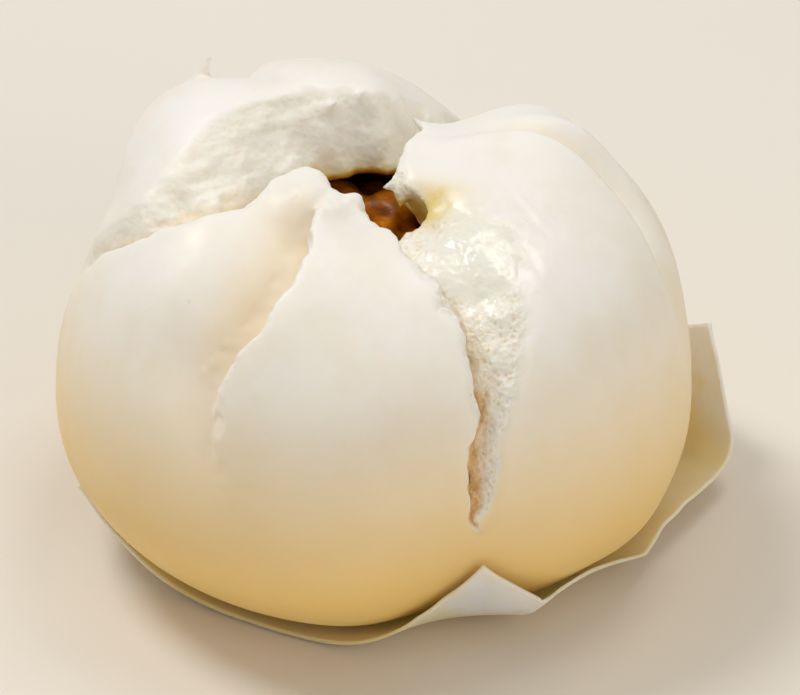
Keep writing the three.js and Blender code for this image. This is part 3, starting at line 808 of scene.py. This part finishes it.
def sponge_group():
    """Height over the pits of an open crumb, from 0 in a pit to about 1 on the walls between."""
    group = bpy.data.node_groups.new("open_crumb", "ShaderNodeTree")
    face = group.interface
    face.new_socket("Vector", in_out="INPUT", socket_type="NodeSocketVector")
    face.new_socket("Scale", in_out="INPUT", socket_type="NodeSocketFloat").default_value = 1300.0
    face.new_socket("Height", in_out="OUTPUT", socket_type="NodeSocketFloat")
    nodes = Nodes(group)
    given = nodes.add("NodeGroupInput").outputs
    bend = nodes.add("ShaderNodeTexNoise", Vector=given["Vector"], Scale=900.0, Detail=2.0)
    shift = nodes.add(
        "ShaderNodeVectorMath", settings={"operation": "SCALE"}, i0=bend.outputs["Color"], Scale=0.0006
    )
    moved = nodes.add("ShaderNodeVectorMath", i0=given["Vector"], i1=shift.outputs[0])
    cells = nodes.add("ShaderNodeTexVoronoi", Vector=moved.outputs[0], Scale=given["Scale"])
    out = nodes.add("NodeGroupOutput")
    group.links.new(cells.outputs["Distance"], out.inputs["Height"])
    return group


def sponge(nodes, place):
    group = bpy.data.node_groups.get("open_crumb") or sponge_group()
    return nodes.add("ShaderNodeGroup", settings={"node_tree": group}, Vector=place).outputs["Height"]


def new_material(name):
    """An empty material with a Principled BSDF, its nodes and the shader."""
    material = bpy.data.materials.new(name)
    material.use_nodes = True
    tree = material.node_tree
    tree.nodes.clear()
    nodes = Nodes(tree)
    shader = tree.nodes.new("ShaderNodeBsdfPrincipled")
    output = tree.nodes.new("ShaderNodeOutputMaterial")
    shader.location, output.location = (2600, 0), (3000, 0)
    tree.links.new(shader.outputs[0], output.inputs[0])
    return material, nodes, shader


def set_shader(shader, **constants):
    for name, value in constants.items():
        shader.inputs[name.replace("_", " ")].default_value = value


def the_relief():
    return bpy.data.node_groups.get("layered_relief") or relief_group()


def linear(color):
    """Linear colour from three sRGB numbers of 0 to 255."""
    values = [c / 255 for c in color]
    return tuple(c / 12.92 if c <= 0.04045 else ((c + 0.055) / 1.055) ** 2.4 for c in values)


def dough_material(settings):
    material, nodes, shader = new_material("steamed_dough")
    place = nodes.place()
    torn = nodes.attribute("torn")
    stain = nodes.attribute("stain")
    wet = nodes.attribute("wet")
    # Painted yellow bounce light and shade: the skin turns darker and yellower towards the bottom and in the
    # pleat valleys.
    warm = nodes.attribute("warm")
    mottle = nodes.grain(place, 90, 4, 0.6)
    skin = nodes.mix(nodes.span(mottle, 0.35, 0.7), (*settings.skin, 1), (*settings.skin_shade, 1))
    skin = nodes.mix(warm, skin, (*settings.foot, 1))
    fluff = nodes.attribute("fluff")
    pits = sponge(nodes, place)
    # Painted shade in the pits of the open crumb.
    painted_pore_shade = nodes.math("MULTIPLY", nodes.span(pits, 0.42, 0.12), fluff)
    crumb = nodes.mix(painted_pore_shade, (*settings.crumb, 1), (*settings.crumb_shade, 1))
    # Painted shade deep in the cracks: the crumb turns darker and yellower there.
    crumb = nodes.mix(nodes.math("MULTIPLY", nodes.attribute("deep"), 0.7), crumb, (*settings.crumb_crevice_shade, 1))
    color = nodes.mix(torn, skin, crumb)
    soaked = nodes.math("MULTIPLY", stain, nodes.span(nodes.grain(place, 420, 3), 0.2, 0.75, 0.7, 1.15))
    color = nodes.mix(
        nodes.math("MINIMUM", nodes.math("MULTIPLY", soaked, 3), 1),
        color,
        nodes.ramp(
            soaked,
            [
                (0.0, settings.crumb),
                (0.3, settings.stain_light),
                (0.65, settings.stain),
                (1.0, settings.stain_dark),
            ],
        ),
    )
    nodes.feed(shader, "Base Color", color)
    rough = nodes.span(nodes.grain(place, 300, 3), 0.3, 0.7, 0.36, 0.5)
    rough = nodes.math("ADD", rough, nodes.math("MULTIPLY", fluff, 0.3))
    rough = nodes.math("SUBTRACT", rough, nodes.math("MULTIPLY", wet, 0.6))
    nodes.feed(shader, "Roughness", nodes.math("MAXIMUM", rough, 0.1))
    nodes.feed(shader, "Coat Weight", wet)
    set_shader(
        shader,
        Subsurface_Weight=0.35,
        Subsurface_Radius=(1.0, 0.68, 0.42),
        Subsurface_Scale=0.0022,
        Specular_IOR_Level=0.5,
        IOR=1.45,
        Coat_Roughness=0.14,
    )
    skin_relief = use_relief(nodes, the_relief(), place, Scale=160.0, Coarse=0.8, Middle=0.5, Fine=0.3)
    crumb_relief = use_relief(nodes, the_relief(), place, Scale=900.0, Coarse=2.6, Middle=2.6, Fine=1.6)
    height = nodes.math(
        "ADD",
        nodes.math("MULTIPLY", skin_relief, nodes.math("SUBTRACT", 1.0, torn)),
        nodes.math("MULTIPLY", nodes.math("ADD", crumb_relief, nodes.math("MULTIPLY", pits, 0.8)), fluff),
    )
    ripples = use_relief(nodes, the_relief(), place, Scale=230.0, Coarse=8.0, Middle=3.0, Fine=0.2)
    height = nodes.math("ADD", height, nodes.math("MULTIPLY", ripples, wet))
    bump = nodes.add("ShaderNodeBump", Height=height, Strength=0.5, Distance=0.0008)
    nodes.feed(shader, "Normal", bump.outputs[0])
    return material


def filling_material(settings):
    material, nodes, shader = new_material("pork_in_sauce")
    place = nodes.place()
    lean = nodes.grain(place, 260, 4, 0.6, 0.4)
    color = nodes.ramp(lean, [(0.3, settings.dark), (0.52, settings.pork), (0.75, settings.glaze)])
    nodes.feed(shader, "Base Color", color)
    nodes.feed(shader, "Roughness", nodes.span(nodes.grain(place, 500, 3), 0.3, 0.7, 0.28, 0.5))
    set_shader(
        shader,
        Subsurface_Weight=0.1,
        Subsurface_Radius=(1.0, 0.3, 0.1),
        Subsurface_Scale=0.002,
        Specular_IOR_Level=0.14,
    )
    height = use_relief(nodes, the_relief(), place, Scale=500.0, Coarse=1.0, Middle=0.6, Fine=0.3)
    bump = nodes.add("ShaderNodeBump", Height=height, Strength=0.5, Distance=0.0006)
    nodes.feed(shader, "Normal", bump.outputs[0])
    return material


def paper_material(settings):
    material, nodes, shader = new_material("steaming_paper")
    place = nodes.place()
    damp = nodes.grain(place, 110, 4, 0.6)
    color = nodes.mix(nodes.span(damp, 0.35, 0.7), (*settings.paper, 1), (*settings.paper_damp, 1))
    # Painted yellow bounce light, strongest where the sheet lies low near the bun.
    color = nodes.mix(nodes.attribute("soaked"), color, (*settings.paper_painted_bounce, 1))
    flecks = nodes.span(nodes.grain(place, 2600, 2, 0.5, 1.5), 0.62, 0.75, 0.0, 0.35)
    color = nodes.mix(flecks, color, (*settings.paper_damp, 1))
    nodes.feed(shader, "Base Color", color)
    nodes.feed(shader, "Roughness", nodes.span(damp, 0.3, 0.7, 0.68, 0.5))
    set_shader(
        shader,
        Subsurface_Weight=0.85,
        Subsurface_Radius=(1.0, 0.85, 0.65),
        Subsurface_Scale=0.002,
        Specular_IOR_Level=0.4,
    )
    height = use_relief(nodes, the_relief(), place, Scale=260.0, Coarse=0.8, Middle=0.5, Fine=0.5)
    bump = nodes.add("ShaderNodeBump", Height=height, Strength=0.35, Distance=0.0004)
    nodes.feed(shader, "Normal", bump.outputs[0])
    return material


def floor_material(settings):
    material, nodes, shader = new_material("pale_floor")
    faint = nodes.span(nodes.grain(nodes.place(), 30, 3), 0.3, 0.7, 0.0, 0.06)
    color = nodes.mix(faint, (*settings.floor, 1), (*[c * 0.9 for c in settings.floor], 1))
    nodes.feed(shader, "Base Color", color)
    set_shader(shader, Roughness=0.75, Specular_IOR_Level=0.3)
    return material


# What a user would change.
def color_property(name, description, srgb):
    return bpy.props.FloatVectorProperty(
        name=name, description=description, subtype="COLOR", size=3, min=0, max=1, default=linear(srgb)
    )


def length_property(name, description, millimetres):
    return bpy.props.FloatProperty(
        name=name, description=description, unit="LENGTH", default=millimetres * MM, min=0.0001
    )


class BaoDoughSettings(bpy.types.PropertyGroup):
    cell: length_property("Cell", "Grid cell that the dough is meshed on", 0.35)
    triangles: bpy.props.IntProperty(
        name="Triangles", description="Faces left in the dough", default=190000, min=10000
    )
    skin: color_property("Skin", "Smooth steamed skin", (252, 248, 242))
    skin_shade: color_property("Skin mottle", "Duller patches of the skin", (247, 240, 229))
    # Colour of the painted yellow bounce light and shade low on the bun, near the paper.
    foot: color_property("Foot", "Skin low on the bun, near the paper", (242, 205, 122))
    crumb: color_property("Crumb", "Torn dough", (250, 245, 234))
    # Colour of the painted shade in the crumb's pits.
    crumb_shade: color_property("Crumb pores", "Pores of the torn dough", (238, 222, 190))
    # Colour of the painted shade deep in the cracks.
    crumb_crevice_shade: color_property("Deep crumb", "Torn dough deep in a crack", (238, 190, 96))
    stain_light: color_property("Light stain", "Edge of the sauce stain", (229, 204, 116))
    stain: color_property("Stain", "Dough soaked with sauce", (184, 120, 22))
    stain_dark: color_property("Dark stain", "Dough under thick sauce", (136, 76, 12))


class BaoFillingSettings(bpy.types.PropertyGroup):
    cell: length_property("Cell", "Grid cell that the filling is meshed on", 0.35)
    triangles: bpy.props.IntProperty(
        name="Triangles", description="Faces left in the filling", default=40000, min=1000
    )
    pork: color_property("Pork", "Glazed barbecue pork", (178, 102, 6))
    glaze: color_property("Glaze", "Thin bright sauce", (226, 150, 14))
    dark: color_property("Dark", "Thick dark sauce", (104, 50, 6))


class BaoPaperSettings(bpy.types.PropertyGroup):
    cells: bpy.props.IntProperty(name="Cells", description="Grid cells along a side", default=150, min=10)
    wrinkle: bpy.props.FloatProperty(name="Wrinkle", description="Strength of the puckers", default=0.6)
    paper: color_property("Paper", "Dry paper", (250, 245, 234))
    paper_damp: color_property("Damp paper", "Paper damp from steam", (241, 218, 172))
    # Colour of the painted yellow bounce light on the paper low near the bun.
    paper_painted_bounce: color_property("Soaked paper", "Paper low on the bun, soaked from it", (234, 204, 146))


class BaoStageSettings(bpy.types.PropertyGroup):
    floor: color_property("Floor", "Plain pale floor", (238, 232, 222))
    key_power: bpy.props.FloatProperty(name="Key", description="Key light", default=3.4, unit="POWER")
    fill_power: bpy.props.FloatProperty(name="Fill", description="Fill light", default=1.85, unit="POWER")
    top_power: bpy.props.FloatProperty(name="Top", description="Top light", default=1.35, unit="POWER")
    sky: bpy.props.FloatProperty(name="Sky", description="Strength of the soft surround", default=0.38)


# Operators.
class BAO_OT_dough(bpy.types.Operator):
    """Make the bun itself: burst skin, torn crumb and the hollow under the opening"""

    bl_idname = "bao.dough"
    bl_label = "Make the dough"

    def execute(self, context):
        settings = context.scene.bao_dough
        cell = settings.cell / MM
        side = BUN_RADIUS + 3
        low = (-side, -side, -2 * cell)
        values = sample_band(dough_field, low, (side, side, WAIST_HEIGHT + CROWN_RISE + 5), cell)
        points, faces = largest_body(*surface_net(values, low, cell))
        obj = make_mesh("burst_dough", points, faces)
        thin_out(obj, settings.triangles)
        paint_dough(obj)
        dress(obj, "dough", dough_material(settings))
        return {"FINISHED"}


def paint_dough(obj):
    """Masks over the dough: torn crumb, sauce stain, wet crumb, painted shade deep in the cracks, and
    painted yellow bounce light and shade low on the bun and in the pleat valleys.
    """
    x, y, z = vertices_mm(obj)
    at = Place(x, y, z)
    below = skin_radius(at) - at.radius
    grain = noise(x / 1.6, y / 1.6, z / 1.6, 81)
    torn = smooth_step(0.15, 0.65, below + 0.12 * grain)
    paint(obj, "torn", np.where(z < 1.2, 0, torn))
    crack = tear_air(TEARS["right"], at, below, 0, 0)
    wet = soft_spot(WET, x, y, z)
    fluff = torn * smooth_step(-1.6, -0.5, crack) * (1 - smooth_step(0.25, 0.7, wet))
    paint(obj, "fluff", np.maximum(fluff, 0.25 * torn))
    inside = smooth_step(-3.5, 0.5, opening_air(at) + 0.8 * grain)
    hollow = smooth_step(-1.5, 0.3, hollow_air(x, y, z))
    soaked = inside * smooth_step(*SAUCE_FADE, z + 1.2 * grain)
    spots = [spot["share"] * soft_spot(spot, x, y, z) for spot in (SEEPING, UNDER_LIP)]
    paint(obj, "stain", np.maximum.reduce([soaked, hollow, *spots]))
    paint(obj, "wet", wet * np.maximum(torn, 0.5))
    # Painted shade deep in the right and left tears, stored as the deep mask.
    deep = at_reach(TEARS["right"]["depth"], at.reach)
    right = smooth_step(0.25, 0.85, below / np.maximum(deep, 1)) * smooth_step(26, 46, at.reach)
    right *= smooth_step(-1.6, -0.5, crack) * (deep > 0.5)
    deep = at_reach(TEARS["left"]["depth"], at.reach)
    left = smooth_step(0.55, 0.95, below / np.maximum(deep, 1)) * smooth_step(14, 26, at.reach)
    left *= smooth_step(-1.6, -0.5, tear_air(TEARS["left"], at, below, 0, 0)) * (deep > 0.5)
    paint(obj, "deep", torn * np.maximum(right, 0.8 * left))
    # Painted shade in the valleys of the first two pleats: the skin there takes the darker yellow colour.
    fold = 0.35 * smooth_step(1.2, 4.5, -pleat_height(PLEATS[0], at))
    fold = np.maximum(fold, 0.3 * smooth_step(1.2, 2.6, -pleat_height(PLEATS[1], at)))
    # Painted yellow bounce light and shade, growing towards the bottom, joined with the painted shade of the
    # pleat valleys.
    paint(obj, "warm", np.maximum(smooth_step(*PAINTED_BOUNCE_FADE, z), fold))


class BAO_OT_filling(bpy.types.Operator):
    """Make the pork and its sauce, down in the hollow"""

    bl_idname = "bao.filling"
    bl_label = "Make the filling"

    def execute(self, context):
        settings = context.scene.bao_filling
        cell = settings.cell / MM
        side = HOLLOW["across"] + 1
        low = (HOLLOW["x"] - side, HOLLOW["y"] - side, HOLLOW["z"] - HOLLOW["rise"] - 0.6)
        high = (HOLLOW["x"] + side, HOLLOW["y"] + side, HOLLOW["z"] + HOLLOW["rise"] + 1)
        values = sample_band(filling_field, low, high, cell)
        points, faces = largest_body(*surface_net(values, low, cell))
        obj = make_mesh("pork_filling", points, faces)
        thin_out(obj, settings.triangles)
        dress(obj, "filling", filling_material(settings))
        return {"FINISHED"}


class BAO_OT_paper(bpy.types.Operator):
    """Make the sheet of paper that the bun was steamed on"""

    bl_idname = "bao.paper"
    bl_label = "Make the paper"

    def execute(self, context):
        settings = context.scene.bao_paper
        points, faces = paper_mesh(settings.cells, settings.wrinkle)
        obj = make_mesh("steaming_paper", points, faces)
        height = vertices_mm(obj)[2]
        # Painted yellow bounce light on the paper, growing towards the floor.
        paint(obj, "soaked", 0.9 * smooth_step(8, 1, height))
        dress(obj, "paper", paper_material(settings))
        return {"FINISHED"}


def area_light(name, place, target, size, power, color):
    light = bpy.data.lights.new(name, "AREA")
    light.shape = "DISK"
    light.size = size
    light.energy = power
    light.color = color
    obj = bpy.data.objects.new(name, light)
    obj.location = place
    obj.rotation_euler = (Vector(target) - Vector(place)).to_track_quat("-Z", "Y").to_euler()
    bpy.context.scene.collection.objects.link(obj)


class BAO_OT_stage(bpy.types.Operator):
    """Set the floor, the soft light and the camera"""

    bl_idname = "bao.stage"
    bl_label = "Set the stage"

    def execute(self, context):
        settings = context.scene.bao_stage
        scene = context.scene
        scene.view_settings.view_transform = "Standard"
        bpy.ops.mesh.primitive_plane_add(size=6, location=(0, 0, -0.0001))
        floor = context.object
        floor.name = "floor"
        floor.data.materials.append(floor_material(settings))
        for name, (place, size, color) in LIGHTS.items():
            area_light(name, place, LIT_POINT, size, getattr(settings, name + "_power"), color)
        world = bpy.data.worlds.new("soft_surround")
        world.use_nodes = True
        background = world.node_tree.nodes["Background"]
        background.inputs["Color"].default_value = (*DAYLIGHT, 1)
        background.inputs["Strength"].default_value = settings.sky
        scene.world = world
        camera = bpy.data.cameras.new("camera")
        camera.lens = CAMERA_LENS
        camera.sensor_width = CAMERA_SENSOR
        camera.clip_start, camera.clip_end = 0.05, 20
        obj = bpy.data.objects.new("camera", camera)
        obj.location = CAMERA_PLACE
        obj.rotation_euler = (math.radians(90 - CAMERA_ELEVATION), 0, 0)
        scene.collection.objects.link(obj)
        scene.camera = obj
        return {"FINISHED"}


class BAO_PT_panel(bpy.types.Panel):
    """Settings of the bun"""

    bl_idname = "BAO_PT_panel"
    bl_label = "Char siu bao"
    bl_space_type = "VIEW_3D"
    bl_region_type = "UI"
    bl_category = "Bao"

    def draw(self, context):
        for operator, group in PIECES:
            box = self.layout.box()
            box.operator(operator.bl_idname)
            settings = getattr(context.scene, group)
            for name in settings.bl_rna.properties.keys():
                if name not in ("rna_type", "name"):
                    box.prop(settings, name)


PIECES = [
    (BAO_OT_stage, "bao_stage"),
    (BAO_OT_dough, "bao_dough"),
    (BAO_OT_filling, "bao_filling"),
    (BAO_OT_paper, "bao_paper"),
]
SETTINGS = {
    "bao_stage": BaoStageSettings,
    "bao_dough": BaoDoughSettings,
    "bao_filling": BaoFillingSettings,
    "bao_paper": BaoPaperSettings,
}
CLASSES = [*SETTINGS.values(), *[operator for operator, _ in PIECES], BAO_PT_panel]


def register():
    for cls in CLASSES:
        bpy.utils.register_class(cls)
    for name, cls in SETTINGS.items():
        setattr(bpy.types.Scene, name, bpy.props.PointerProperty(type=cls))


def unregister():
    for name in SETTINGS:
        delattr(bpy.types.Scene, name)
    for cls in reversed(CLASSES):
        bpy.utils.unregister_class(cls)


def main():
    register()
    for operator, _ in PIECES:
        group, name = operator.bl_idname.split(".")
        getattr(getattr(bpy.ops, group), name)()


if __name__ == "__main__":
    main()
